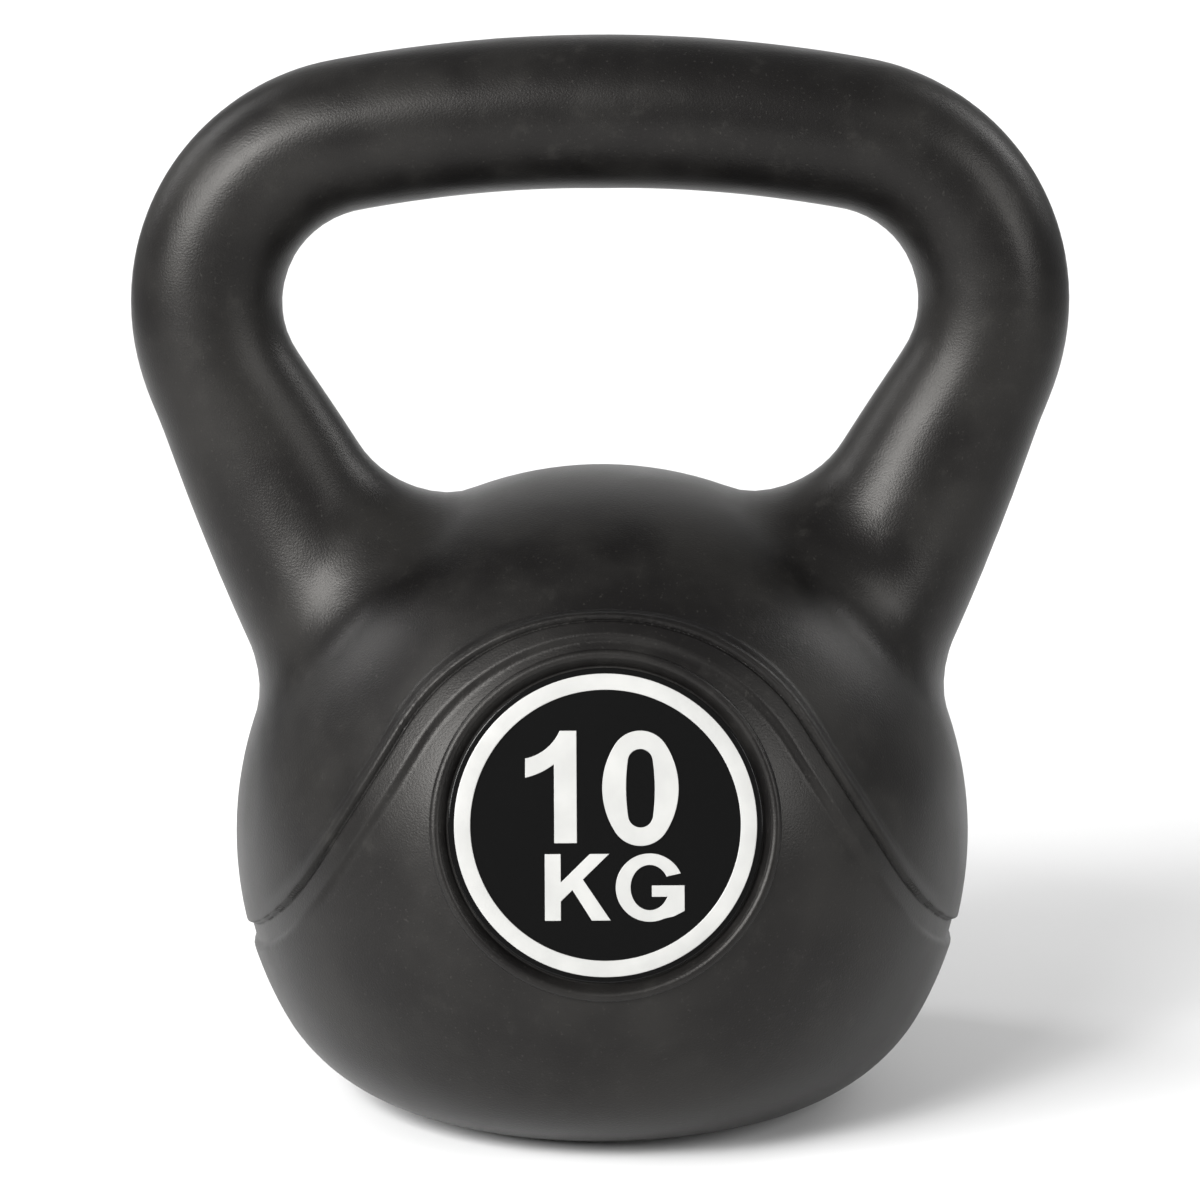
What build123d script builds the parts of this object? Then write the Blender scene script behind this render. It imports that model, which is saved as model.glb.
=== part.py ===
"""
10 kg kettlebell: blow-moulded plastic shell filled with cement and iron sand.

A ball with a flat foot carries a wide loop handle.  Ball and handle are one hollow
plastic skin, filled solid and closed underneath by a push-in plug.  A soft rib arches
over a round badge, at the front and again at the rear, and runs out into a groove at
each side.  The badge is a glued plate with a raised ring and raised marks.

Millimetres.  Origin: middle of the foot, on the floor.  +Z up, the front faces -Y,
+X is on the right seen from the front.
"""

import math
import os

from build123d import *

# ---------------------------------------------------------------- driving sizes
# ball
BALL_R = 95.0            # radius of the ball
BALL_Z = 68.3            # height of the ball's centre
FOOT_BEND_R = 45.0       # the ball's underside turns into the flat foot on this radius

# handle, one loop of round bar that runs into two widening legs
HEIGHT = 273.5           # floor to the top of the grip
GRIP_D = 38.2            # grip diameter
CROWN_R = 360.0          # the grip bows upwards on this radius
CORNER_X = 56.5          # centre of the corner bend, sideways
CORNER_R = 43.7          # bend radius of the corner's centreline
LEG_LEAN = 26.1          # legs lean in by this much from upright, degrees
LEG_WIDEN = 0.316        # extra width per mm at the top of the leg
LEG_FLARE = 52.0         # extra depth at the hidden end of the leg, grows as a square
LEG_TAPER_L = 83.0       # the widening has eased out after this length
LEG_END = 96.0           # length of leg below the corner, its end buried in the ball
BLEND_R = 24.0           # fillet between legs and ball

# moulded skin
WALL = 3.0               # wall thickness of the blow-moulded skin

# rib that arches over the badge
RIB_ARCH_R = 55.0        # radius of the arch over the badge
RIB_ARCH_Z = 79.3        # height of the arch's centre
RIB_TURN = 58.0          # the arch runs to this angle each side, then straight down
RIB_RUN = 38.0           # length of that straight run
RIB_FLARE_R = 185.0      # the lower ends flare outwards on this radius
RIB_END = 44.0           # slope at which the flare leaves the ball, degrees
RIB_W = 5.4              # width of the rib
RIB_PROUD = 1.2          # the rib stands this far above the ball at front and rear
RIB_SUNK = 1.3           # and lies this far below it at the sides

# badge seat and badge, square to a radius of the ball that looks slightly upwards
BADGE_TILT = 14.3        # degrees above level
SEAT_H = 84.3            # distance from the ball's centre to the seat's floor
SEAT_R = 38.2            # radius of the seat's floor
SEAT_DRAFT = 38.0        # the seat's wall opens outwards at this angle, degrees
BEAD_R = 40.9            # radius of the raised bead's crest circle
BEAD_T = 1.3             # radius of the bead's round section
GLUE_R = 36.5
GLUE_T = 0.3
PLATE_R = 37.7
PLATE_T = 0.9
RING_RO = 36.3
RING_RI = 32.4
MARK_T = 0.5             # thickness of the raised white marks

# underside
PANEL_R = 35.0           # radius of the panel set into the foot
PANEL_H = 3.0            # depth of that panel
HOLE_R = 17.0            # filling hole
PLUG_FLANGE_R = 21.5
PLUG_FLANGE_T = 2.2
PLUG_STEM_L = 8.5        # stem length above the flange
PLUG_BEAD_R = 18.0       # snap bead that grips behind the wall


# ---------------------------------------------------------------- handle path
def handle_path():
    """Break points of the centreline's right half: crown arc, corner arc, leg."""
    crown_z = HEIGHT - GRIP_D / 2 - CROWN_R
    turn_in = math.asin(CORNER_X / (CROWN_R - CORNER_R))
    corner_z = crown_z + (CROWN_R - CORNER_R) * math.cos(turn_in)
    return crown_z, corner_z, turn_in


def station(s):
    """Point and running direction of the centreline, s mm from the crown's middle."""
    crown_z, corner_z, turn_in = handle_path()
    turn_out = math.radians(90 + LEG_LEAN)
    crown_len = CROWN_R * turn_in
    corner_len = CORNER_R * (turn_out - turn_in)
    if s <= crown_len:
        a = s / CROWN_R
        x = CROWN_R * math.sin(a)
        z = crown_z + CROWN_R * math.cos(a)
        extra = 0.0
    elif s <= crown_len + corner_len:
        a = turn_in + (s - crown_len) / CORNER_R
        x = CORNER_X + CORNER_R * math.sin(a)
        z = corner_z + CORNER_R * math.cos(a)
        extra = 0.0
    else:
        a = turn_out
        extra = s - crown_len - corner_len
        x = CORNER_X + CORNER_R * math.sin(a) + extra * math.cos(a)
        z = corner_z + CORNER_R * math.cos(a) - extra * math.sin(a)
    return x, z, math.cos(a), -math.sin(a), extra


def handle_section(s, inset):
    """Oval section of the handle at signed distance s, drawn inset mm smaller."""
    x, z, dx, dz, extra = station(abs(s))
    if s < 0:
        x = -x
        dz = -dz
    run = min(extra, LEG_TAPER_L)
    eased = run * (1 - run / (2 * LEG_TAPER_L))
    width = GRIP_D + LEG_WIDEN * eased
    depth = GRIP_D + LEG_FLARE * (extra / LEG_END) ** 2
    across = Plane(origin=(x, 0, z), x_dir=(0, 1, 0), z_dir=(dx, 0, dz))
    with BuildSketch(across) as oval:
        Ellipse(depth / 2 - inset, width / 2 - inset)
    return oval.sketch.faces()[0]


def ball_and_handle(inset):
    """Ball with foot and the loop handle, blended, as a solid drawn inset mm smaller."""
    with BuildPart() as ball:
        with BuildSketch(Plane.XZ) as profile:
            with Locations((0, BALL_Z)):
                Circle(BALL_R)
            with Locations((0, -BALL_R)):
                Rectangle(4 * BALL_R, 2 * BALL_R, mode=Mode.SUBTRACT)
            heels = profile.vertices().sort_by(Axis.Z)[:2]
            fillet(heels, FOOT_BEND_R)
            with Locations((0, PANEL_H / 2)):
                Trapezoid(2 * PANEL_R, PANEL_H, 60, mode=Mode.SUBTRACT)
            if inset > 0:
                offset(amount=-inset, kind=Kind.INTERSECTION, mode=Mode.REPLACE)
            with Locations((-2 * BALL_R, BALL_Z)):
                Rectangle(4 * BALL_R, 4 * BALL_R, mode=Mode.SUBTRACT)
        revolve(axis=Axis.Z)

    _, _, turn_in = handle_path()
    crown = CROWN_R * turn_in
    corner = CORNER_R * (math.radians(90 + LEG_LEAN) - turn_in)
    half = [crown * i / 4 for i in (1, 2, 3, 4)]
    half += [crown + corner * i / 5 for i in (1, 2, 3, 4, 5)]
    half += [crown + corner + LEG_END * i / 6 for i in (1, 2, 3, 4, 5, 6)]
    stops = [-s for s in reversed(half)] + [0] + half
    with BuildPart() as loop:
        loft(sections=[handle_section(s, inset) for s in stops])

    with BuildPart() as body:
        add(ball.part)
        add(loop.part)
        seams = body.edges().filter_by(lambda e: is_seam(e))
        fillet(seams, BLEND_R + inset)
    return body.part


def is_seam(edge):
    """True for the edges where a leg enters the ball."""
    spots = [edge.position_at(t) for t in (0.2, 0.5, 0.8)]
    near = all(abs((p - Vector(0, 0, BALL_Z)).length - BALL_R) < 3.6 for p in spots)
    return near and all(75 < p.Z < 172 and abs(p.X) > 15 for p in spots) and \
        edge.geom_type != GeomType.CIRCLE


# ---------------------------------------------------------------- rib over the badge
def rib_edge(out_by):
    """Points of one rib edge's right half, seen from the front, out_by mm off its middle."""
    turn = math.radians(RIB_TURN)
    end = math.radians(RIB_END)
    mid = (turn + end) / 2
    arch = RIB_ARCH_R + out_by
    flare = RIB_FLARE_R - out_by
    knee = (arch * math.sin(turn), RIB_ARCH_Z + arch * math.cos(turn))
    fall = (knee[0] + RIB_RUN * math.cos(turn), knee[1] - RIB_RUN * math.sin(turn))
    hub = (fall[0] + flare * math.sin(turn), fall[1] + flare * math.cos(turn))
    bend = (hub[0] - flare * math.sin(mid), hub[1] - flare * math.cos(mid))
    tip = (hub[0] - flare * math.sin(end), hub[1] - flare * math.cos(end))
    away = (tip[0] + 40 * math.cos(end), tip[1] - 40 * math.sin(end))
    return knee, fall, bend, tip, away


def left(point):
    return (-point[0], point[1])


def rib_band():
    """Slab between the rib's two edges, running right through from front to rear."""
    with BuildPart() as band:
        with BuildSketch(Plane.XZ):
            with BuildLine():
                ends = []
                for out_by in (RIB_W / 2, -RIB_W / 2):
                    knee, fall, bend, tip, away = rib_edge(out_by)
                    ThreePointArc(left(knee), (0, RIB_ARCH_Z + RIB_ARCH_R + out_by), knee)
                    for side in (lambda point: point, left):
                        Line(side(knee), side(fall))
                        ThreePointArc(side(fall), side(bend), side(tip))
                        Line(side(tip), side(away))
                    ends.append(away)
                Line(ends[0], ends[1])
                Line(left(ends[0]), left(ends[1]))
            make_face()
        extrude(amount=2 * BALL_R, both=True)
    return band.part


def rib_surface():
    """Ball drawn a touch larger but flattened sideways; the rib's outside lies on it."""
    tall = BALL_R + RIB_PROUD
    wide = BALL_R - RIB_SUNK
    with BuildPart() as egg:
        with BuildSketch(Plane.XZ):
            with Locations((0, BALL_Z)):
                Ellipse(wide, tall)
            with Locations((0, BALL_Z - 2 * BALL_R)):
                Rectangle(4 * BALL_R, 4 * BALL_R, mode=Mode.SUBTRACT)
        revolve(axis=Axis((0, 0, BALL_Z), (1, 0, 0)))
    return egg.part


# ---------------------------------------------------------------- badge seats
def badge_plane(side, height):
    """Plane square to the badge axis, height mm from the ball's centre, side -1 front, +1 rear."""
    tilt = math.radians(BADGE_TILT)
    look = Vector(0, side * math.cos(tilt), math.sin(tilt))
    middle = Vector(0, 0, BALL_Z) + look * height
    return Plane(origin=middle, x_dir=(-side, 0, 0), z_dir=look)


def badge_seat(side, wall=0.0):
    """Round pocket for the badge with a sloping wall; drawn larger by wall all round."""
    with BuildPart() as seat:
        with BuildSketch(badge_plane(side, SEAT_H - wall)):
            Circle(SEAT_R + wall)
        extrude(amount=12 + wall, taper=-SEAT_DRAFT)
    return seat.part


def seat_bead(side):
    """Round bead that stands round the mouth of the seat."""
    crest = badge_plane(side, math.sqrt(BALL_R ** 2 - BEAD_R ** 2) - 0.1)
    with BuildPart() as bead:
        with Locations(crest):
            Torus(BEAD_R, BEAD_T)
    return bead.part


# ---------------------------------------------------------------- shell and filling
def outer_skin():
    """Everything inside the shell's outer surface."""
    band = rib_band()
    with BuildPart() as rib:
        add(band)
        add(rib_surface(), mode=Mode.INTERSECT)
    with BuildPart() as skin:
        add(ball_and_handle(0))
        add(band, mode=Mode.SUBTRACT)
        add(rib.part)
        for side in (-1, 1):
            add(seat_bead(side))
            add(badge_seat(side), mode=Mode.SUBTRACT)
    return skin.part


def cavity():
    """Everything inside the shell's inner surface."""
    with BuildPart() as hollow:
        add(ball_and_handle(WALL))
        for side in (-1, 1):
            add(badge_seat(side, WALL), mode=Mode.SUBTRACT)
    return hollow.part


def plug():
    """Push-in plug: flange, stem with a snap bead, finger recess underneath."""
    top = PANEL_H + PLUG_STEM_L
    with BuildPart() as stopper:
        with BuildSketch(Plane.XZ):
            with BuildLine():
                grip = PANEL_H + WALL
                Polyline(
                    (0, PANEL_H - PLUG_FLANGE_T + 0.8),
                    (PLUG_FLANGE_R - 7, PANEL_H - PLUG_FLANGE_T + 0.8),
                    (PLUG_FLANGE_R - 6, PANEL_H - PLUG_FLANGE_T),
                    (PLUG_FLANGE_R - 0.6, PANEL_H - PLUG_FLANGE_T),
                    (PLUG_FLANGE_R, PANEL_H - PLUG_FLANGE_T + 0.6),
                    (PLUG_FLANGE_R, PANEL_H),
                    (HOLE_R, PANEL_H),
                    (HOLE_R, grip),
                    (PLUG_BEAD_R, grip),
                    (PLUG_BEAD_R, grip + 1.4),
                    (HOLE_R - 0.6, top),
                    (0, top),
                    close=True,
                )
            make_face()
        revolve(axis=Axis.Z)
    return stopper.part


# ---------------------------------------------------------------- badge
def disc(side, height, radius, thick, bore=0.0):
    """Round plate of the badge, its underside height mm from the ball's centre."""
    with BuildPart() as plate:
        with BuildSketch(badge_plane(side, height)):
            Circle(radius)
            if bore > 0:
                Circle(bore, mode=Mode.SUBTRACT)
        extrude(amount=thick)
    return plate.part


def oval(half_w, half_h, end_r):
    """Upright oval of four arcs round the origin."""
    drop = half_h - end_r
    side_r = (half_w ** 2 + drop ** 2 - end_r ** 2) / (2 * (half_w - end_r))
    lean = math.atan2(drop, side_r - half_w)
    knee_x = end_r * math.cos(lean)
    knee_z = drop + end_r * math.sin(lean)
    with BuildSketch() as shape:
        with BuildLine():
            ThreePointArc((-knee_x, knee_z), (0, half_h), (knee_x, knee_z))
            ThreePointArc((knee_x, knee_z), (half_w, 0), (knee_x, -knee_z))
            ThreePointArc((knee_x, -knee_z), (0, -half_h), (-knee_x, -knee_z))
            ThreePointArc((-knee_x, -knee_z), (-half_w, 0), (-knee_x, knee_z))
        make_face()
    return shape.sketch


def digit_one():
    with BuildSketch() as shape:
        with BuildLine():
            Line((-6.9, 22.6), (-6.9, -4.3))
            Line((-6.9, -4.3), (-12.3, -4.3))
            Line((-12.3, -4.3), (-12.3, 14.6))
            ThreePointArc((-12.3, 14.6), (-15.4, 12.7), (-19.2, 11.4))
            Line((-19.2, 11.4), (-19.2, 16.0))
            ThreePointArc((-19.2, 16.0), (-14.2, 18.3), (-10.9, 22.6))
            Line((-10.9, 22.6), (-6.9, 22.6))
        make_face()
    return shape.sketch


def digit_zero():
    outside = oval(9.15, 13.8, 7.2)
    inside = oval(3.45, 9.4, 3.0)
    with BuildSketch() as shape:
        with Locations((8.4, 8.75)):
            add(outside)
            add(inside, mode=Mode.SUBTRACT)
    return shape.sketch


def letter_k():
    with BuildSketch() as shape:
        Polygon(
            (-14.6, -6.9), (-10.8, -6.9), (-10.8, -13.7), (-3.8, -6.9), (0.8, -6.9),
            (-5.5, -13.0), (1.1, -22.8), (-3.4, -22.8), (-8.0, -15.5), (-10.8, -18.2),
            (-10.8, -22.8), (-14.6, -22.8), align=None,
        )
    return shape.sketch


def letter_g():
    with BuildSketch() as shape:
        with Locations((10.5, -15.0)):
            Circle(8.15)
            Ellipse(4.6, 5.4, mode=Mode.SUBTRACT)
        Polygon((10.5, -14.5), (14.9, -12.3), (20, -11.2), (20, -14.5),
                align=None, mode=Mode.SUBTRACT)
        Polygon((11.0, -14.5), (18.8, -14.5), (18.8, -20.6), (16.2, -21.9),
                (13.5, -22.5), (12.5, -20.5), (15.1, -19.2), (15.1, -17.2),
                (11.0, -17.2), align=None)
    return shape.sketch


def mark(side, height, shape):
    """One raised mark of the badge."""
    with BuildPart() as raised:
        with BuildSketch(badge_plane(side, height)):
            add(shape)
        extrude(amount=MARK_T)
    return raised.part


# ---------------------------------------------------------------- build and save
def main():
    stopper = plug()
    stopper.label = "filler_plug"

    hollow = cavity()
    with BuildPart() as shell:
        add(outer_skin())
        add(hollow, mode=Mode.SUBTRACT)
        with Locations((0, 0, PANEL_H + WALL / 2)):
            Cylinder(HOLE_R, 2 * WALL, mode=Mode.SUBTRACT)
    shell.part.label = "shell"

    with BuildPart() as core:
        add(hollow)
        add(stopper, mode=Mode.SUBTRACT)
    core.part.label = "fill_core"

    pieces = [shell.part, core.part, stopper]
    for side, name in ((-1, "front"), (1, "rear")):
        on_glue = SEAT_H + GLUE_T
        on_plate = on_glue + PLATE_T
        badge = {
            "glue": disc(side, SEAT_H, GLUE_R, GLUE_T),
            "plate": disc(side, on_glue, PLATE_R, PLATE_T),
            "ring": disc(side, on_plate, RING_RO, MARK_T, RING_RI),
            "digit_one": mark(side, on_plate, digit_one()),
            "digit_zero": mark(side, on_plate, digit_zero()),
            "letter_k": mark(side, on_plate, letter_k()),
            "letter_g": mark(side, on_plate, letter_g()),
        }
        for kind, piece in badge.items():
            piece.label = f"{name}_{kind}"
            pieces.append(piece)

    os.makedirs("parts", exist_ok=True)
    for piece in pieces:
        export_step(piece, f"parts/{piece.label}.step")
        print(f"{piece.label:18} {piece.volume / 1000:9.3f} cm3")


main()
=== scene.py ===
"""
10 kg kettlebell: satin black plastic shell with a loop handle, a glued weight badge at
front and rear, cement filling and a push-in plug, on a pale studio sweep.

Laid out as a Blender add-on: sizes and colours are property groups, every group of
pieces has its operator, and a panel in the sidebar of the 3D view lists them.
Metres.  The front faces -Y, +X is on the right, +Z is up, the foot stands on Z = 0.
"""

import math

import bpy
import numpy as np
from mathutils import Euler, Matrix, Vector


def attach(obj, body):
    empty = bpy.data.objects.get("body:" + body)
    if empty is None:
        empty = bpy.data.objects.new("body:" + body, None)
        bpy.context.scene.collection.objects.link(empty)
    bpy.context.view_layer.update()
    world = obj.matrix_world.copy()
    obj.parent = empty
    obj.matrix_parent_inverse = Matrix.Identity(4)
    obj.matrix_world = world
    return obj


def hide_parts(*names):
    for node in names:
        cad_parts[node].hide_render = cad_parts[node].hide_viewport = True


bl_info = {
    "name": "Kettlebell",
    "version": (1, 0, 0),
    "blender": (4, 5, 0),
    "location": "3D View > Sidebar > Kettlebell",
    "description": "Builds a plastic-shelled kettlebell and its studio",
    "category": "Object",
}

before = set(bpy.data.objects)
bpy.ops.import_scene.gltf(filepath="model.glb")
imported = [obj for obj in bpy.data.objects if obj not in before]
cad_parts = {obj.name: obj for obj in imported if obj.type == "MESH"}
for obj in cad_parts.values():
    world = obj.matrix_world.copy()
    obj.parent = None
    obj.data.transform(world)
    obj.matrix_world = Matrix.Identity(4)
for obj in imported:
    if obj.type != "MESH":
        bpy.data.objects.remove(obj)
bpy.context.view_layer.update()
MM = 0.001                    # one millimetre in metres
SHARP = math.radians(32)      # edges that turn by more than this stay crisp
ROUND = 160                   # segments of every turned piece and cutter
FIRST_CELL = 4.0 * MM         # cell size of the shell's first, rough remesh
CELL = 3.8 * MM               # cell size of its second remesh
RIB_MIDDLE = 1.4 * MM         # middle of the rib's relief, above the rib's own line
RIB_REACHES = (8 * MM, 6 * MM, 4 * MM)     # half widths of the strips that are refined in turn
PAD = 3.3 * MM                # depth of the pad behind a seat, and how far it stands out round it
BASE_PAD = 5 * MM             # the same for the foot panel
PANEL_SLOPE = math.tan(math.radians(30))   # slope of the panel's edge
SEAT_CUT = 14 * MM            # height of the cone that cuts a seat


# ---------------------------------------------------------------- settings
def length(name, mm, what):
    """Property for a length that is given in millimetres."""
    return bpy.props.FloatProperty(
        name=name, description=what, default=mm * MM, precision=5, subtype="DISTANCE", unit="LENGTH"
    )


def angle(name, degrees, what):
    """Property for an angle that is given in degrees."""
    return bpy.props.FloatProperty(
        name=name, description=what, default=math.radians(degrees), subtype="ANGLE", unit="ROTATION"
    )


def number(name, value, what):
    """Property for a bare number."""
    return bpy.props.FloatProperty(name=name, description=what, default=value, precision=4)


def linear(hexcode):
    """Linear RGB of a colour written as sRGB hex."""
    out = []
    for i in (0, 2, 4):
        c = int(hexcode[i:i + 2], 16) / 255
        out.append(c / 12.92 if c <= 0.04045 else ((c + 0.055) / 1.055) ** 2.4)
    return tuple(out)


def colour(name, hexcode, what):
    """Property for a colour that is given as sRGB hex."""
    return bpy.props.FloatVectorProperty(
        name=name, description=what, default=linear(hexcode), subtype="COLOR", size=3, min=0, max=1
    )


class KB_ShellSettings(bpy.types.PropertyGroup):
    """Sizes of the moulded shell"""

    ball_radius: length("Ball radius", 95, "Radius of the ball")
    ball_height: length("Ball height", 68.3, "Height of the ball's centre")
    foot_bend: length("Foot bend", 45, "Radius on which the ball turns into its flat foot")
    height: length("Height", 273.5, "Floor to the top of the grip")
    grip: length("Grip diameter", 38.2, "Thickness of the grip")
    crown_radius: length("Crown radius", 360, "Upward bow of the grip's centreline")
    corner_x: length("Corner centre", 56.5, "Sideways place of the corner bend's centre")
    corner_radius: length("Corner radius", 43.7, "Bend radius of the corner's centreline")
    leg_lean: angle("Leg lean", 26.1, "Lean of the legs from upright")
    leg_widen: number("Leg widening", 0.316, "Extra width per length at the top of the leg")
    leg_ease: length("Leg easing", 6, "Length over which the taper of the leg sets in")
    leg_flare: length("Leg flare", 52, "Extra depth at the hidden end of the leg")
    leg_end: length("Leg length", 96, "Length of the leg, its hidden end included")
    leg_taper: length("Leg taper length", 83, "Length over which the widening eases out")
    blend: length("Blend radius", 24, "Fillet between legs and ball")
    wall: length("Wall", 3, "Thickness of the moulded skin")
    arch_radius: length("Arch radius", 55, "Radius of the rib's arch over the badge")
    arch_height: length("Arch height", 79.3, "Height of the arch's centre")
    arch_turn: angle("Arch turn", 58, "The arch runs to this angle each side, then straight")
    rib_run: length("Rib run", 38, "Length of the rib's straight stretch")
    rib_flare: length("Rib flare", 185, "Radius on which the rib's lower ends flare out")
    rib_proud: length("Rib height", 1.3, "Height of the rib's flat band at the front")
    rib_roll: length("Roll height", 2.1, "Height of the soft roll above the flat band")
    rib_sunk: length("Groove depth", 1.3, "Depth of the groove that the rib becomes at the sides")
    badge_tilt: angle("Badge tilt", 14.3, "The badge looks up by this angle")
    seat_height: length("Seat height", 84.3, "Distance of the seat's floor from the ball's centre")
    seat_radius: length("Seat radius", 38.2, "Radius of the seat's floor")
    seat_draft: angle("Seat draft", 38, "Outward slope of the seat's wall")
    bead_radius: length("Bead radius", 40.9, "Radius of the bead's crest circle")
    bead_size: length("Bead size", 1.3, "Radius of the bead's round section")
    panel_radius: length("Panel radius", 35, "Radius of the panel set into the foot")
    panel_depth: length("Panel depth", 3, "Depth of that panel")
    hole_radius: length("Hole radius", 17, "Radius of the filling hole")


class KB_BadgeSettings(bpy.types.PropertyGroup):
    """Sizes of the badge"""

    glue: length("Glue film", 0.3, "Thickness of the glue film")
    plate_radius: length("Plate radius", 37.7, "Radius of the black plate")
    plate: length("Plate thickness", 0.9, "Thickness of the black plate")
    ring_outer: length("Ring outer radius", 36.3, "Outer radius of the white ring")
    ring_inner: length("Ring inner radius", 32.4, "Inner radius of the white ring")
    ring: length("Ring thickness", 0.5, "Thickness of the white ring")
    edge: length("Edge", 0.22, "Softness of the plate's and ring's edges")


class KB_Looks(bpy.types.PropertyGroup):
    """Colours"""

    shell: colour("Shell", "0b0a0a", "Black of the moulded shell")
    scuff: colour("Scuffs", "2b2a28", "Lighter grey where the skin is scuffed")
    plate: colour("Plate", "050505", "Black of the badge plate")
    white: colour("White", "9c9c9a", "White of the ring and the marks")
    cement: colour("Cement", "8d8880", "Grey of the set filling")
    grit: colour("Grit", "5c5a58", "Darker iron sand in the filling")
    plug: colour("Plug", "232322", "Black of the plug")
    glue: colour("Glue", "c9c4b6", "Cured glue film")
    floor: colour("Floor", "e2e2e2", "Pale studio sweep")


class KB_StageSettings(bpy.types.PropertyGroup):
    """Camera and lights"""

    camera_x: length("Camera X", -9.98, "Camera place, sideways")
    camera_y: length("Camera Y", -1011.16, "Camera place, in front")
    camera_z: length("Camera Z", 316.37, "Camera place, height")
    camera_azimuth: angle("Camera azimuth", -0.544, "Turn of the camera's axis")
    camera_elevation: angle("Camera elevation", 10.505, "Downward tilt of the camera's axis")
    camera_roll: angle("Camera roll", -0.176, "Roll about the camera's axis")
    half_width: number("Half width", 0.15058, "Half the picture's width over its distance")
    key: number("Key light", 31, "Power of the key light, watts")
    top: number("Top light", 9, "Power of the high front light, watts")
    fill: number("Fill light", 8, "Power of the fill light, watts")
    back: number("Wall lights", 28, "Power of each light on the wall, watts")
    world: number("Surroundings", 0.33, "Brightness of the surroundings")


def shell_settings():
    """Sizes of the shell, as the panel shows them."""
    return bpy.context.scene.kb_shell


def badge_settings():
    """Sizes of the badge, as the panel shows them."""
    return bpy.context.scene.kb_badge


def looks():
    """Colours, as the panel shows them."""
    return bpy.context.scene.kb_looks


# ---------------------------------------------------------------- modelling helpers
def deselect():
    """Leaves edit mode and selects nothing."""
    if bpy.context.object and bpy.context.object.mode != "OBJECT":
        bpy.ops.object.mode_set(mode="OBJECT")
    bpy.ops.object.select_all(action="DESELECT")


def pick(obj):
    """Makes obj the only selected and the active object."""
    deselect()
    obj.select_set(True)
    bpy.context.view_layer.objects.active = obj


def newest(name):
    """Names the object that an add operator has just made."""
    obj = bpy.context.object
    obj.name = name
    obj.data.name = name
    return obj


def apply_place(obj):
    """Puts the object's place into its mesh."""
    pick(obj)
    bpy.ops.object.transform_apply(location=True, rotation=True, scale=True)


def modify(obj, kind, **values):
    """Adds a modifier with the values and applies it."""
    pick(obj)
    mod = obj.modifiers.new(kind.title(), kind)
    for key, value in values.items():
        setattr(mod, key, value)
    bpy.ops.object.modifier_apply(modifier=mod.name)


def combine(obj, other, operation):
    """Boolean of obj with other; other is used up."""
    modify(obj, "BOOLEAN", object=other, operation=operation, solver="EXACT")
    bpy.data.objects.remove(other)


def join(first, *rest):
    """Joins the objects into the first one."""
    deselect()
    for obj in (first, *rest):
        obj.select_set(True)
    bpy.context.view_layer.objects.active = first
    bpy.ops.object.join()
    return first


def tidy_mesh(obj, smooth=True, merge=1e-6):
    """Merges doubles, turns normals outwards and sets smooth shading."""
    pick(obj)
    bpy.ops.object.mode_set(mode="EDIT")
    bpy.ops.mesh.select_all(action="SELECT")
    bpy.ops.mesh.remove_doubles(threshold=merge)
    bpy.ops.mesh.dissolve_degenerate(threshold=merge)
    bpy.ops.mesh.normals_make_consistent(inside=False)
    bpy.ops.object.mode_set(mode="OBJECT")
    if smooth:
        bpy.ops.object.shade_smooth_by_angle(angle=SHARP)


def points_of(obj):
    """Places of the vertices, one row each."""
    flat = np.empty(len(obj.data.vertices) * 3, dtype=np.float32)
    obj.data.vertices.foreach_get("co", flat)
    return flat.reshape(-1, 3).astype(np.float64)


def set_points(obj, points):
    """Puts the vertices at new places."""
    obj.data.vertices.foreach_set("co", points.astype(np.float32).ravel())
    obj.data.update()


# ---------------------------------------------------------------- form of the shell
def handle_curve(k):
    """Centre heights and bend angles of the handle's centreline."""
    turn_in = math.asin(k.corner_x / (k.crown_radius - k.corner_radius))
    turn_out = math.pi / 2 + k.leg_lean
    crown_z = k.height - k.grip / 2 - k.crown_radius
    corner_z = crown_z + (k.crown_radius - k.corner_radius) * math.cos(turn_in)
    return turn_in, turn_out, crown_z, corner_z


def leg_start(k):
    """Sideways place and height at which the corner bend runs into the straight leg."""
    _, turn_out, _, corner_z = handle_curve(k)
    x = k.corner_x + k.corner_radius * math.sin(turn_out)
    return x, corner_z + k.corner_radius * math.cos(turn_out)


def handle_distance(p, k):
    """Signed distance from the handle's surface."""
    turn_in, turn_out, crown_z, corner_z = handle_curve(k)
    x, y, z = np.abs(p[:, 0]), p[:, 1], p[:, 2]
    start_x, start_z = leg_start(k)
    dx, dz = math.cos(turn_out), -math.sin(turn_out)
    along = (x - start_x) * dx + (z - start_z) * dz
    across = (x - start_x) * dz - (z - start_z) * dx
    bend = np.hypot(x - k.corner_x, z - corner_z) - k.corner_radius
    crown = np.hypot(x, z - crown_z) - k.crown_radius
    on_crown = np.arctan2(x, z - crown_z) < turn_in
    across = np.where(along > 0, across, np.where(on_crown, crown, bend))
    past_end = along - k.leg_end
    along = (along + np.sqrt(along ** 2 + k.leg_ease ** 2)) / 2
    run = np.clip(along, 0, k.leg_taper)
    eased = run * (1 - run / (2 * k.leg_taper))
    half_w = (k.grip + k.leg_widen * eased) / 2
    half_d = (k.grip + k.leg_flare * np.clip(along / k.leg_end, 0, 1) ** 2) / 2
    size = np.sqrt((across / half_w) ** 2 + (y / half_d) ** 2) + 1e-9
    slope = np.sqrt((across / half_w ** 2) ** 2 + (y / half_d ** 2) ** 2) / size + 1e-9
    return np.maximum((size - 1) / slope, past_end)


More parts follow.
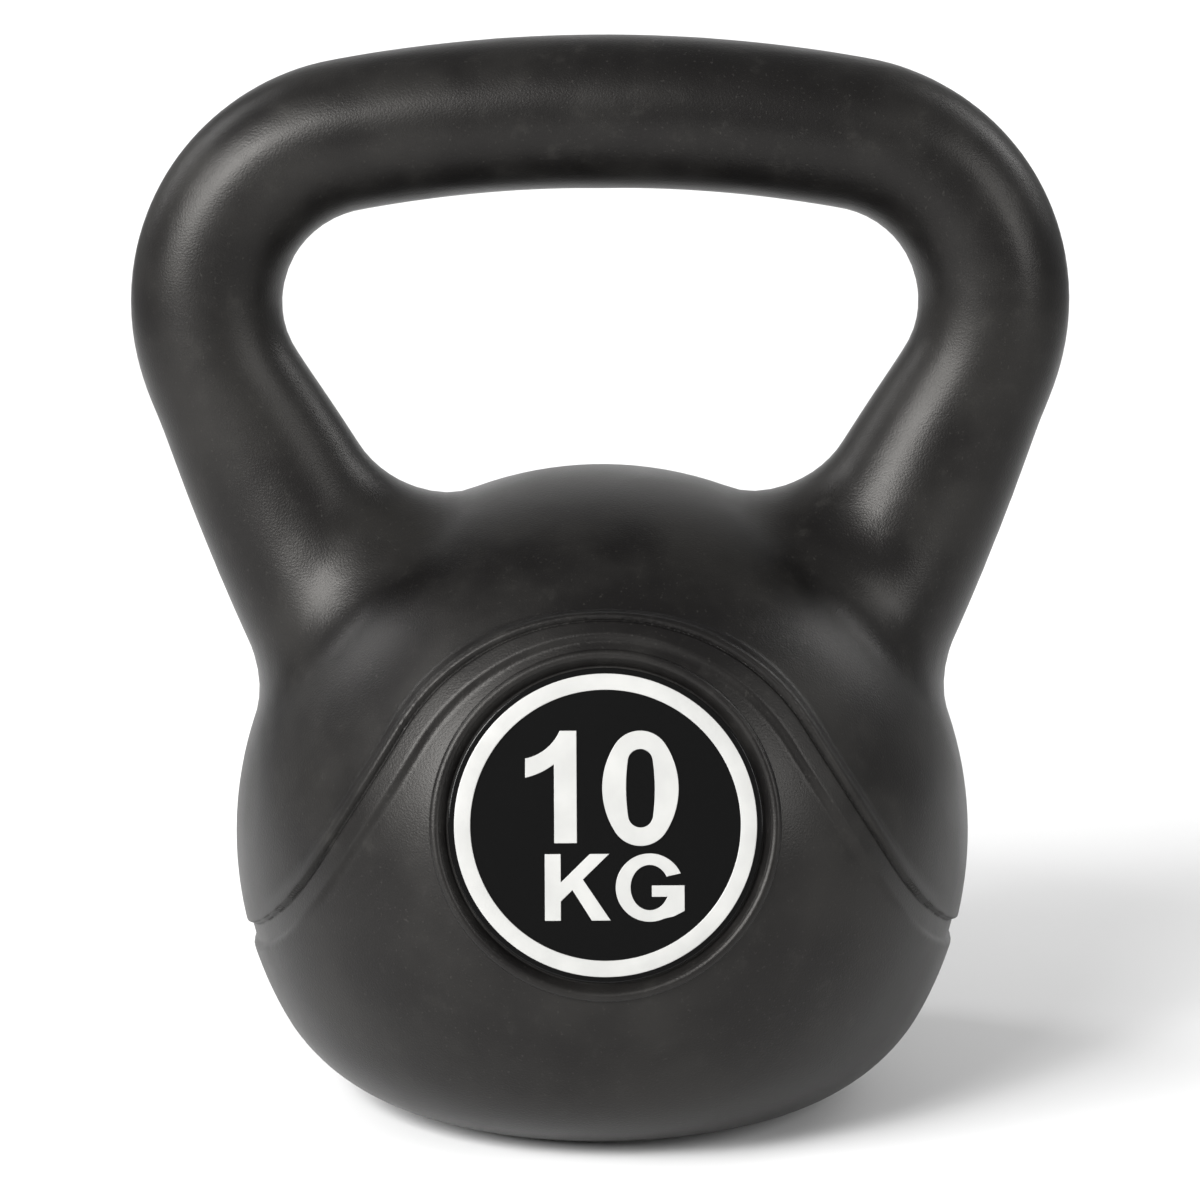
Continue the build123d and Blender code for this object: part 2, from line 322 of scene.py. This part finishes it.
def ball_distance(p, k):
    """Signed distance from the ball with its bend and flat foot."""
    out = np.hypot(p[:, 0], p[:, 1])
    z = p[:, 2]
    b = k.foot_bend
    bend_x = math.sqrt((k.ball_radius - b) ** 2 - (k.ball_height - b) ** 2)
    low = math.atan2(b - k.ball_height, bend_x)
    sphere = np.hypot(out, z - k.ball_height) - k.ball_radius
    bend = np.hypot(out - bend_x, z - b) - b
    under = np.where(out > bend_x, bend, -z)
    return np.where(np.arctan2(z - k.ball_height, out) > low, sphere, under)


def slope_of(distance, p, k):
    """Unit direction in which a distance grows."""
    h = 2e-5
    out = np.empty_like(p)
    for axis in range(3):
        step = np.zeros(3)
        step[axis] = h
        out[:, axis] = distance(p + step, k) - distance(p - step, k)
    return out / np.maximum(np.linalg.norm(out, axis=1), 1e-12)[:, None]


def form_distance(p, k):
    """Distance from ball and handle joined by a rolling-ball fillet, and its direction."""
    a, b = ball_distance(p, k), handle_distance(p, k)
    up_a, up_b = slope_of(ball_distance, p, k), slope_of(handle_distance, p, k)
    c = np.clip((up_a * up_b).sum(1), -0.95, 0.995)
    u, v = k.blend - a, k.blend - b
    in_fillet = (u - c * v > 0) & (v - c * u > 0)
    reach = np.sqrt(np.maximum((u * u + v * v - 2 * c * u * v) / (1 - c * c), 1e-12))
    f = np.where(in_fillet, k.blend - reach, np.minimum(a, b))
    turned_up = (u - c * v)[:, None] * up_a + (v - c * u)[:, None] * up_b
    plain_up = np.where((a < b)[:, None], up_a, up_b)
    up = np.where(in_fillet[:, None], turned_up, plain_up)
    return f, up / np.maximum(np.linalg.norm(up, axis=1), 1e-12)[:, None]


def settle(obj, k, steps=5):
    """Moves every vertex straight onto the shell's form."""
    longest = 4 * MM
    p = points_of(obj)
    for _ in range(steps):
        f, up = form_distance(p, k)
        p -= np.clip(f, -longest, longest)[:, None] * up
    set_points(obj, p)


def ease(a, b, v):
    """0 below a, 1 above b, and a soft step between."""
    t = np.clip((v - a) / (b - a), 0, 1)
    return t * t * (3 - 2 * t)


def rib_distance(p, k):
    """Distance from the rib's middle seen from the front, above it positive."""
    x, z = np.abs(p[:, 0]), p[:, 2]
    s, c = math.sin(k.arch_turn), math.cos(k.arch_turn)
    knee_x = k.arch_radius * s
    knee_z = k.arch_height + k.arch_radius * c
    run = (x - knee_x) * c - (z - knee_z) * s
    straight = (x - knee_x) * s + (z - knee_z) * c
    arch = np.hypot(x, z - k.arch_height) - k.arch_radius
    hub_x = knee_x + k.rib_run * c + k.rib_flare * s
    hub_z = knee_z - k.rib_run * s + k.rib_flare * c
    flare = k.rib_flare - np.hypot(x - hub_x, z - hub_z)
    return np.where(run < 0, arch, np.where(run < k.rib_run, straight, flare))


def rib_height(p, k):
    """Relief of the rib: soft roll, fine line, flat band, step down to the ball.

    d runs across the rib in millimetres, upwards positive, and the band is narrower at
    the middle of the arch than at the sides.
    """
    x = np.abs(p[:, 0])
    width = 0.70 + 0.30 * ease(0, 0.045, x)
    d = rib_distance(p, k) / width / MM
    side = ease(0.060, 0.090, x)
    band = k.rib_proud * (1 - side) - k.rib_sunk * side
    roll = k.rib_roll * (1 - side)
    up = ease(-3.7, -1.9, d)
    line = np.exp(-((d - 2.1) / 0.32) ** 2)
    top = ease(1.9, 2.7, d)
    fall = 1 - ease(3.1, 6.4, d)
    height = band * up * (1 - top) + roll * top * fall
    return height - 0.75 * MM * line * (1 - side)


def select_faces(obj, wanted):
    """Selects the faces whose middles pass wanted."""
    n = len(obj.data.polygons)
    middles = np.empty(n * 3, dtype=np.float32)
    obj.data.polygons.foreach_get("center", middles)
    pick(obj)
    bpy.ops.object.mode_set(mode="EDIT")
    bpy.ops.mesh.select_mode(type="FACE")
    bpy.ops.mesh.select_all(action="DESELECT")
    bpy.ops.object.mode_set(mode="OBJECT")
    obj.data.polygons.foreach_set("select", wanted(middles.reshape(-1, 3).astype(np.float64)))
    bpy.ops.object.mode_set(mode="EDIT")


def select_edges(obj, wanted):
    """Selects the edges whose two ends pass wanted, and stays in edit mode."""
    pick(obj)
    bpy.ops.object.mode_set(mode="EDIT")
    bpy.ops.mesh.select_mode(type="EDGE")
    bpy.ops.mesh.select_all(action="DESELECT")
    bpy.ops.object.mode_set(mode="OBJECT")
    points = obj.data.vertices
    for edge in obj.data.edges:
        edge.select = wanted(points[edge.vertices[0]].co, points[edge.vertices[1]].co)
    bpy.ops.object.mode_set(mode="EDIT")


def near_rib(p, k, reach):
    """True for points on the ball's skin within reach of the rib."""
    on_ball = np.abs(ball_distance(p, k)) < 1.0 * MM
    return on_ball & (np.abs(rib_distance(p, k) - RIB_MIDDLE) < reach)


def refine(obj, k, reach):
    """Halves the mesh size round the rib."""
    select_faces(obj, lambda p: near_rib(p, k, reach))
    bpy.ops.mesh.subdivide(number_cuts=1, smoothness=0, ngon=False)
    bpy.ops.object.mode_set(mode="OBJECT")


def badge_matrix(k, side, height):
    """Place square to the badge axis, side -1 front, +1 rear."""
    look = Vector((0, side * math.cos(k.badge_tilt), math.sin(k.badge_tilt)))
    right = Vector((-side, 0, 0))
    up = look.cross(right)
    turn = Matrix((right, up, look)).transposed().to_4x4()
    return Matrix.Translation(Vector((0, 0, k.ball_height)) + look * height) @ turn


def place_on_badge(obj, k, side, height):
    """Sets a piece modelled on Z square onto the badge axis."""
    pick(obj)
    obj.matrix_world = badge_matrix(k, side, height)
    apply_place(obj)


# ---------------------------------------------------------------- shell
def rough_shell(k):
    """Ball and handle as closed bodies: sphere, and a circle spun and extruded into a loop."""
    turn_in, turn_out, crown_z, corner_z = handle_curve(k)
    deselect()
    bpy.ops.mesh.primitive_uv_sphere_add(
        segments=96, ring_count=48, radius=k.ball_radius, location=(0, 0, k.ball_height)
    )
    ball = newest("shell_ball")
    apply_place(ball)
    bpy.ops.object.mode_set(mode="EDIT")
    bpy.ops.mesh.select_all(action="SELECT")
    bpy.ops.mesh.bisect(plane_co=(0, 0, 0.0002), plane_no=(0, 0, 1), clear_inner=True, use_fill=True)
    bpy.ops.object.mode_set(mode="OBJECT")

    deselect()
    bpy.ops.mesh.primitive_circle_add(
        vertices=40, radius=k.grip / 2, location=(0, 0, crown_z + k.crown_radius),
        rotation=(0, math.pi / 2, 0),
    )
    loop = newest("shell_loop")
    apply_place(loop)
    bpy.ops.object.mode_set(mode="EDIT")
    bpy.ops.mesh.select_all(action="SELECT")
    bpy.ops.mesh.spin(steps=8, angle=-turn_in, center=(0, 0, crown_z), axis=(0, 1, 0))
    bpy.ops.mesh.spin(
        steps=16, angle=turn_in - turn_out, center=(k.corner_x, 0, corner_z), axis=(0, 1, 0)
    )
    step = 0.026
    move = (step * math.cos(turn_out), 0, -step * math.sin(turn_out))
    for _ in range(4):
        bpy.ops.mesh.extrude_edges_move(TRANSFORM_OT_translate={"value": move})
        bpy.ops.transform.resize(value=(1.06, 1.04, 1.06))
    bpy.ops.mesh.edge_face_add()
    bpy.ops.object.mode_set(mode="OBJECT")
    modify(loop, "MIRROR", use_axis=(True, False, False), use_mirror_merge=True, merge_threshold=1e-5)
    tidy_mesh(loop, smooth=False)
    return join(ball, loop)


def smooth_vertices(obj, times):
    """Evens out the spacing of the vertices."""
    pick(obj)
    bpy.ops.object.mode_set(mode="EDIT")
    bpy.ops.mesh.select_all(action="SELECT")
    bpy.ops.mesh.vertices_smooth(factor=0.5, repeat=times)
    bpy.ops.object.mode_set(mode="OBJECT")


def remesh(obj, size):
    """Turns overlapping bodies into one skin of even cells."""
    pick(obj)
    obj.data.remesh_voxel_size = size
    bpy.ops.object.voxel_remesh()


def from_ball_centre(p, k):
    """Vectors from the ball's centre, and their lengths."""
    away = p - np.array([0, 0, k.ball_height])
    return away, np.linalg.norm(away, axis=1)


def round_off(skin, k):
    """Puts the vertices near the rib back onto the ball's exact sphere."""
    p = points_of(skin)
    away, far = from_ball_centre(p, k)
    sphere = np.array([0, 0, k.ball_height]) + away * (k.ball_radius / far)[:, None]
    outer = (np.abs(ball_distance(p, k)) < 0.5 * MM) & near_rib(p, k, 12 * MM)
    outer &= np.abs(far - k.ball_radius) < 0.4 * MM
    p[outer] = sphere[outer]
    set_points(skin, p)


def raise_rib(skin, k):
    """Lifts the outer skin by the rib's relief."""
    p = points_of(skin)
    away, far = from_ball_centre(p, k)
    outer = (np.abs(ball_distance(p, k)) < 0.3 * MM) & near_rib(p, k, 14 * MM)
    p += np.where(outer, rib_height(p, k), 0)[:, None] * (away / far[:, None])
    set_points(skin, p)


def moulded_skin(k):
    """Hollow skin with the rib moulded in, still without seats, panel and hole."""
    skin = rough_shell(k)
    remesh(skin, FIRST_CELL)
    settle(skin, k, steps=8)
    remesh(skin, CELL)
    for _ in range(2):
        smooth_vertices(skin, 2)
        settle(skin, k)
    modify(skin, "SOLIDIFY", thickness=k.wall, offset=-1)
    pick(skin)
    bpy.ops.object.mode_set(mode="EDIT")
    bpy.ops.mesh.select_all(action="SELECT")
    bpy.ops.mesh.quads_convert_to_tris()
    bpy.ops.object.mode_set(mode="OBJECT")
    for reach in RIB_REACHES:
        refine(skin, k, reach)
        round_off(skin, k)
    raise_rib(skin, k)
    return skin


def disc(name, radius, depth, top):
    """Upright round body on the Z axis with its upper face at top."""
    deselect()
    bpy.ops.mesh.primitive_cylinder_add(
        vertices=ROUND, radius=radius, depth=depth, location=(0, 0, top - depth / 2)
    )
    obj = newest(name)
    apply_place(obj)
    return obj


def cone(name, low, low_radius, high, high_radius):
    """Upright cone on the Z axis between two heights."""
    deselect()
    bpy.ops.mesh.primitive_cone_add(
        vertices=ROUND, radius1=low_radius, radius2=high_radius, depth=high - low,
        location=(0, 0, (low + high) / 2),
    )
    obj = newest(name)
    apply_place(obj)
    return obj


def bead_ring(k):
    """Round bead that stands round the mouth of a seat."""
    deselect()
    bpy.ops.mesh.primitive_torus_add(
        major_segments=200, minor_segments=20, major_radius=k.bead_radius,
        minor_radius=k.bead_size,
    )
    return newest("seat_bead")


def cut_seats_and_panel(skin, k):
    """Pads behind the seats and the panel, then the beads, the seats, the panel and the hole."""
    crest = math.sqrt(k.ball_radius ** 2 - k.bead_radius ** 2) - 0.1 * MM
    pads = [disc("base_pad", k.panel_radius + BASE_PAD, BASE_PAD, 6 * MM)]
    cuts = [cone("panel_cut", -MM, k.panel_radius + MM * PANEL_SLOPE,
                 k.panel_depth, k.panel_radius - k.panel_depth * PANEL_SLOPE)]
    beads = []
    for side in (-1, 1):
        pads.append(disc("seat_pad", k.seat_radius + PAD, PAD, 0.3 * MM))
        cuts.append(cone("seat_cut", 0, k.seat_radius,
                         SEAT_CUT, k.seat_radius + SEAT_CUT * math.tan(k.seat_draft)))
        beads.append(bead_ring(k))
        place_on_badge(pads[-1], k, side, k.seat_height)
        place_on_badge(cuts[-1], k, side, k.seat_height)
        place_on_badge(beads[-1], k, side, crest)
    combine(skin, join(*pads), "UNION")
    combine(skin, join(*beads), "UNION")
    combine(skin, join(*cuts), "DIFFERENCE")
    combine(skin, disc("hole_cut", k.hole_radius, 9 * MM, 8 * MM), "DIFFERENCE")


# ---------------------------------------------------------------- badge
def plate_outline(radius, thick, edge, hole=0):
    """Half outline of a flat round piece with softened edges, bottom to top."""
    points = [(hole, 0), (radius, 0), (radius, thick - edge)]
    for i in range(1, 5):
        a = i * math.pi / 8
        points.append((radius - edge * (1 - math.cos(a)), thick - edge * (1 - math.sin(a))))
    if hole:
        for i in range(4, 0, -1):
            a = i * math.pi / 8
            points.append((hole + edge * (1 - math.cos(a)), thick - edge * (1 - math.sin(a))))
        points.append((hole, thick - edge))
    else:
        points.append((0, thick))
    return points


def turned(name, outline):
    """Closed round body made by spinning an outline of (radius, height) about Z."""
    deselect()
    bpy.ops.mesh.primitive_plane_add(size=0.01, location=(0, 0, 0))
    obj = newest(name)
    bpy.ops.object.mode_set(mode="EDIT")
    bpy.ops.mesh.select_all(action="SELECT")
    bpy.ops.mesh.delete(type="VERT")
    bpy.ops.object.mode_set(mode="OBJECT")
    mesh = obj.data
    mesh.vertices.add(len(outline))
    for vertex, (r, z) in zip(mesh.vertices, outline):
        vertex.co = (r, 0, z)
    closed = outline[0][0] > 0
    count = len(outline) if closed else len(outline) - 1
    mesh.edges.add(count)
    for i in range(count):
        mesh.edges[i].vertices = (i, (i + 1) % len(outline))
    mesh.update()
    pick(obj)
    bpy.ops.object.mode_set(mode="EDIT")
    bpy.ops.mesh.select_all(action="SELECT")
    bpy.ops.mesh.spin(steps=ROUND, angle=2 * math.pi, center=(0, 0, 0), axis=(0, 0, 1))
    bpy.ops.mesh.select_all(action="SELECT")
    bpy.ops.mesh.remove_doubles(threshold=2e-6)
    bpy.ops.mesh.normals_make_consistent(inside=False)
    bpy.ops.object.mode_set(mode="OBJECT")
    bpy.ops.object.shade_smooth_by_angle(angle=SHARP)
    return obj


# ---------------------------------------------------------------- materials
def new_material(name):
    """Empty node material."""
    mat = bpy.data.materials.new(name)
    mat.use_nodes = True
    mat.node_tree.nodes.clear()
    return mat


def add_node(mat, kind, settings=None, inputs=None):
    """Adds a shader node; inputs may be plain values or output sockets."""
    node = mat.node_tree.nodes.new(kind)
    for key, value in (settings or {}).items():
        setattr(node, key, value)
    for key, value in (inputs or {}).items():
        if isinstance(value, bpy.types.NodeSocket):
            mat.node_tree.links.new(value, node.inputs[key])
        else:
            node.inputs[key].default_value = value
    return node


def rgba(value):
    """Colour with full alpha."""
    return (*value, 1)


def finish_material(mat, shader):
    """Links the shader to the material's output."""
    out = add_node(mat, "ShaderNodeOutputMaterial")
    mat.node_tree.links.new(shader.outputs[0], out.inputs["Surface"])
    return mat


def spots(mat, where, size_mm, low, high, detail=2.0, rough=0.5):
    """Soft mask from 0 to 1 made of noise with features of the given size."""
    noise = add_node(
        mat, "ShaderNodeTexNoise", None,
        {"Vector": where, "Scale": 1000 / size_mm, "Detail": detail, "Roughness": rough},
    )
    mask = add_node(
        mat, "ShaderNodeMapRange", {"interpolation_type": "SMOOTHSTEP"},
        {"Value": noise.outputs["Fac"], "From Min": low, "From Max": high},
    )
    return mask.outputs["Result"]


def math_node(mat, operation, a, b):
    """Output of a two-input math node."""
    return add_node(mat, "ShaderNodeMath", {"operation": operation}, {0: a, 1: b}).outputs[0]


def mix_colour(mat, factor, a, b):
    """Colour between a and b."""
    node = add_node(mat, "ShaderNodeMix", {"data_type": "RGBA"})
    for index, value in ((0, factor), (6, a), (7, b)):
        if isinstance(value, bpy.types.NodeSocket):
            mat.node_tree.links.new(value, node.inputs[index])
        else:
            node.inputs[index].default_value = value
    return node.outputs[2]


def shell_material(c):
    """Blow-moulded black polyethylene, satin from the sand-blasted mould.

    The eye sees a warm near-black with a soft wide sheen, a fine grain with pale specks,
    and a slightly polished, scuffed grip.
    """
    mat = new_material("satin black polyethylene")
    where = add_node(mat, "ShaderNodeTexCoord").outputs["Object"]
    grain = add_node(
        mat, "ShaderNodeTexNoise", None,
        {"Vector": where, "Scale": 1000 / 0.5, "Detail": 2.0, "Roughness": 0.5},
    ).outputs["Fac"]
    cloudy = spots(mat, where, 28, 0.35, 0.70, 3.0)
    specks = spots(mat, where, 0.8, 0.66, 0.78, 1.0)
    scuffs = spots(mat, where, 7, 0.56, 0.74, 5.0, 0.7)
    tint = mix_colour(mat, math_node(mat, "MULTIPLY", cloudy, 0.30), rgba(c.shell), rgba(c.scuff))
    worn = math_node(mat, "MAXIMUM", math_node(mat, "MULTIPLY", specks, 0.55),
                     math_node(mat, "MULTIPLY", scuffs, 0.25))
    tint = mix_colour(mat, worn, tint, rgba(c.scuff))
    rough = add_node(
        mat, "ShaderNodeMapRange", None,
        {"Value": cloudy, "To Min": 0.36, "To Max": 0.43},
    ).outputs["Result"]
    edge = add_node(mat, "ShaderNodeBevel", {"samples": 4}, {"Radius": 0.0005})
    bump = add_node(
        mat, "ShaderNodeBump", None,
        {"Height": grain, "Strength": 0.5, "Distance": 0.00012, "Normal": edge.outputs[0]},
    )
    shader = add_node(
        mat, "ShaderNodeBsdfPrincipled", None,
        {"Base Color": tint, "Roughness": rough, "IOR": 1.51, "Specular IOR Level": 0.23,
         "Specular Tint": (1.0, 0.975, 0.94, 1),
         "Normal": bump.outputs[0]},
    )
    return finish_material(mat, shader)


def plate_material(c):
    """Gloss black acrylic sheet: near mirror, with a faint uneven haze."""
    mat = new_material("gloss black acrylic")
    where = add_node(mat, "ShaderNodeTexCoord").outputs["Object"]
    haze = spots(mat, where, 12, 0.35, 0.75, 4.0)
    rough = add_node(
        mat, "ShaderNodeMapRange", None, {"Value": haze, "To Min": 0.07, "To Max": 0.12},
    ).outputs["Result"]
    edge = add_node(mat, "ShaderNodeBevel", {"samples": 4}, {"Radius": 0.0002})
    shader = add_node(
        mat, "ShaderNodeBsdfPrincipled", None,
        {"Base Color": rgba(c.plate), "Roughness": rough, "IOR": 1.49,
         "Specular IOR Level": 0.3, "Normal": edge.outputs[0]},
    )
    return finish_material(mat, shader)


def white_material(c):
    """Moulded white ABS: smooth, slightly soft gloss, a faint warm unevenness."""
    mat = new_material("white ABS")
    where = add_node(mat, "ShaderNodeTexCoord").outputs["Object"]
    cloudy = spots(mat, where, 9, 0.3, 0.8, 3.0)
    tint = mix_colour(mat, math_node(mat, "MULTIPLY", cloudy, 0.12), rgba(c.white), (0.7, 0.69, 0.66, 1))
    edge = add_node(mat, "ShaderNodeBevel", {"samples": 6}, {"Radius": 0.00022})
    shader = add_node(
        mat, "ShaderNodeBsdfPrincipled", None,
        {"Base Color": tint, "Roughness": 0.30, "IOR": 1.53, "Normal": edge.outputs[0]},
    )
    return finish_material(mat, shader)


def cement_material(c):
    """Set cement with iron sand: matt, grey, dark grit and small pores."""
    mat = new_material("cement and iron sand")
    where = add_node(mat, "ShaderNodeTexCoord").outputs["Object"]
    grit = spots(mat, where, 2.5, 0.50, 0.62, 4.0)
    tint = mix_colour(mat, math_node(mat, "MULTIPLY", grit, 0.7), rgba(c.cement), rgba(c.grit))
    pores = add_node(
        mat, "ShaderNodeTexNoise", None, {"Vector": where, "Scale": 1000 / 1.6, "Detail": 5.0},
    ).outputs["Fac"]
    bump = add_node(
        mat, "ShaderNodeBump", None, {"Height": pores, "Strength": 0.6, "Distance": 0.0005},
    )
    shader = add_node(
        mat, "ShaderNodeBsdfPrincipled", None,
        {"Base Color": tint, "Roughness": 0.92, "Normal": bump.outputs[0]},
    )
    return finish_material(mat, shader)


def plug_material(c):
    """Injection-moulded low-density polyethylene: waxy matt black."""
    mat = new_material("matt black polyethylene")
    where = add_node(mat, "ShaderNodeTexCoord").outputs["Object"]
    wax = spots(mat, where, 6, 0.3, 0.75, 3.0)
    rough = add_node(
        mat, "ShaderNodeMapRange", None, {"Value": wax, "To Min": 0.48, "To Max": 0.60},
    ).outputs["Result"]
    edge = add_node(mat, "ShaderNodeBevel", {"samples": 4}, {"Radius": 0.0003})
    shader = add_node(
        mat, "ShaderNodeBsdfPrincipled", None,
        {"Base Color": rgba(c.plug), "Roughness": rough, "IOR": 1.51, "Normal": edge.outputs[0]},
    )
    return finish_material(mat, shader)


def glue_material(c):
    """Cured contact adhesive: milky, rubbery film."""
    mat = new_material("cured adhesive")
    where = add_node(mat, "ShaderNodeTexCoord").outputs["Object"]
    streaks = spots(mat, where, 3, 0.4, 0.7, 3.0)
    tint = mix_colour(mat, math_node(mat, "MULTIPLY", streaks, 0.3), rgba(c.glue), (0.35, 0.32, 0.26, 1))
    shader = add_node(
        mat, "ShaderNodeBsdfPrincipled", None,
        {"Base Color": tint, "Roughness": 0.55, "IOR": 1.47},
    )
    return finish_material(mat, shader)


def floor_material(c):
    """Matt white paper sweep with the faintest grain."""
    mat = new_material("white paper sweep")
    where = add_node(mat, "ShaderNodeTexCoord").outputs["Object"]
    fibre = spots(mat, where, 4, 0.3, 0.8, 4.0)
    tint = mix_colour(mat, math_node(mat, "MULTIPLY", fibre, 0.04), rgba(c.floor), (0.8, 0.8, 0.8, 1))
    shader = add_node(
        mat, "ShaderNodeBsdfPrincipled", None,
        {"Base Color": tint, "Roughness": 0.85, "IOR": 1.45},
    )
    return finish_material(mat, shader)


MATERIALS = {
    "shell": shell_material, "badge_plate": plate_material, "badge_white": white_material,
    "fill": cement_material, "plug": plug_material, "adhesive": glue_material,
    "floor": floor_material,
}


def dress(obj, slot):
    """Gives obj the material of a slot, made once."""
    name = "kb_" + slot
    mat = bpy.data.materials.get(name)
    if mat is None:
        mat = MATERIALS[slot](looks())
        mat.name = name
    obj.data.materials.clear()
    obj.data.materials.append(mat)


def paper_sweep():
    """Floor that bends up into a wall behind the object."""
    deselect()
    bpy.ops.mesh.primitive_plane_add(size=7, location=(0, -0.9, -0.0002))
    sweep = newest("sweep")
    bpy.ops.transform.resize(value=(0.27, 1, 1))
    apply_place(sweep)
    select_edges(sweep, lambda a, b: min(a.y, b.y) > 2)
    bpy.ops.mesh.extrude_edges_move(TRANSFORM_OT_translate={"value": (0, 0, 3.5)})
    select_edges(sweep, lambda a, b: min(a.y, b.y) > 2 and max(a.z, b.z) < 1)
    bpy.ops.mesh.bevel(offset=1.2, segments=16, affect="EDGES")
    bpy.ops.object.mode_set(mode="OBJECT")
    bpy.ops.object.shade_smooth()
    return sweep


# ---------------------------------------------------------------- operators
class KB_OT_shell(bpy.types.Operator):
    """Ball and handle in one skin, with rib, badge seats, foot panel and filling hole"""

    bl_idname = "kettlebell.shell"
    bl_label = "Shell"

    def execute(self, context):
        k = shell_settings()
        skin = moulded_skin(k)
        cut_seats_and_panel(skin, k)
        tidy_mesh(skin, merge=5e-6)
        skin.name = "moulded_shell"
        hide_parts("shell")
        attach(skin, "root")
        dress(skin, "shell")
        return {"FINISHED"}


class KB_OT_badges(bpy.types.Operator):
    """Black plate and white ring of both badges, with softened edges"""

    bl_idname = "kettlebell.badges"
    bl_label = "Badges"

    def execute(self, context):
        k, b = shell_settings(), badge_settings()
        plate = turned("plate", plate_outline(b.plate_radius, b.plate, b.edge))
        ring = turned("ring", plate_outline(b.ring_outer, b.ring, 0.7 * b.edge, b.ring_inner))
        low = k.seat_height + b.glue
        for name, side in (("front", -1), ("rear", 1)):
            for pattern, height, slot, node in (
                (plate, low, "badge_plate", "plate"),
                (ring, low + b.plate, "badge_white", "ring"),
            ):
                piece = pattern.copy()
                piece.data = pattern.data.copy()
                context.collection.objects.link(piece)
                piece.name = name + "_round_" + node
                place_on_badge(piece, k, side, height)
                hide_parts(name + "_" + node)
                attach(piece, "root")
                dress(piece, slot)
        bpy.data.objects.remove(plate)
        bpy.data.objects.remove(ring)
        return {"FINISHED"}


class KB_OT_finishes(bpy.types.Operator):
    """Real finishes on the marks, the glue, the plug and the filling"""

    bl_idname = "kettlebell.finishes"
    bl_label = "Finishes"

    def execute(self, context):
        dress(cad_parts["fill_core"], "fill")
        dress(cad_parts["filler_plug"], "plug")
        for name in ("front", "rear"):
            dress(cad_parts[name + "_glue"], "adhesive")
            for mark in ("digit_one", "digit_zero", "letter_k", "letter_g"):
                dress(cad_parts[name + "_" + mark], "badge_white")
        return {"FINISHED"}


class KB_OT_stage(bpy.types.Operator):
    """Sweep, lights and camera"""

    bl_idname = "kettlebell.stage"
    bl_label = "Studio"

    def execute(self, context):
        s = context.scene.kb_stage
        sweep = paper_sweep()
        dress(sweep, "floor")
        aim = Vector((0, 0, 0.13))
        wall = Vector((0, 2.6, 0.5))
        for name, place, target, size, power in (
            ("key", (-0.88, -0.85, 0.72), aim, (0.75, 0.65), s.key),
            ("front_top", (-0.55, -1.05, 0.85), aim, (0.40, 0.30), s.top),
            ("fill", (1.05, -0.80, 0.60), aim, (0.45, 0.70), s.fill),
            ("wall_left", (-1.3, 0.7, 1.2), wall, (1.0, 1.0), s.back),
            ("wall_right", (1.3, 0.7, 1.2), wall, (1.0, 1.0), s.back),
        ):
            turn = (target - Vector(place)).to_track_quat("-Z", "Y").to_euler()
            bpy.ops.object.light_add(type="AREA", location=place, rotation=turn)
            lamp = context.object
            lamp.name = name
            lamp.data.shape = "RECTANGLE"
            lamp.data.size, lamp.data.size_y = size
            lamp.data.energy = power
            lamp.visible_camera = False
        world = bpy.data.worlds.new("studio")
        world.use_nodes = True
        background = world.node_tree.nodes["Background"]
        background.inputs["Color"].default_value = (1, 1, 1, 1)
        background.inputs["Strength"].default_value = s.world
        context.scene.world = world
        bpy.ops.object.camera_add(location=(s.camera_x, s.camera_y, s.camera_z))
        camera = context.object
        turn = Euler((math.pi / 2 - s.camera_elevation, 0, s.camera_azimuth)).to_matrix()
        turn = turn @ Matrix.Rotation(s.camera_roll, 3, "Z")
        camera.rotation_euler = turn.to_euler()
        camera.data.sensor_width = 36
        camera.data.lens = 18 / s.half_width
        camera.data.dof.use_dof = False
        context.scene.camera = camera
        context.scene.view_settings.view_transform = "Standard"
        return {"FINISHED"}


class KB_PT_panel(bpy.types.Panel):
    """Kettlebell sizes, colours and build steps"""

    bl_idname = "KB_PT_panel"
    bl_label = "Kettlebell"
    bl_space_type = "VIEW_3D"
    bl_region_type = "UI"
    bl_category = "Kettlebell"

    def draw(self, context):
        for title, group, operator in (
            ("Shell", "kb_shell", "kettlebell.shell"),
            ("Badges", "kb_badge", "kettlebell.badges"),
            ("Colours", "kb_looks", "kettlebell.finishes"),
            ("Studio", "kb_stage", "kettlebell.stage"),
        ):
            box = self.layout.box()
            box.label(text=title)
            settings = getattr(context.scene, group)
            for name in settings.__annotations__:
                box.prop(settings, name)
            box.operator(operator)


CLASSES = (
    KB_ShellSettings, KB_BadgeSettings, KB_Looks, KB_StageSettings,
    KB_OT_shell, KB_OT_badges, KB_OT_finishes, KB_OT_stage, KB_PT_panel,
)


def register():
    for cls in CLASSES:
        bpy.utils.register_class(cls)
    bpy.types.Scene.kb_shell = bpy.props.PointerProperty(type=KB_ShellSettings)
    bpy.types.Scene.kb_badge = bpy.props.PointerProperty(type=KB_BadgeSettings)
    bpy.types.Scene.kb_looks = bpy.props.PointerProperty(type=KB_Looks)
    bpy.types.Scene.kb_stage = bpy.props.PointerProperty(type=KB_StageSettings)


def unregister():
    for name in ("kb_shell", "kb_badge", "kb_looks", "kb_stage"):
        delattr(bpy.types.Scene, name)
    for cls in reversed(CLASSES):
        bpy.utils.unregister_class(cls)


def main():
    register()
    bpy.ops.kettlebell.shell()
    bpy.ops.kettlebell.badges()
    bpy.ops.kettlebell.finishes()
    bpy.ops.kettlebell.stage()


if __name__ == "__main__":
    main()
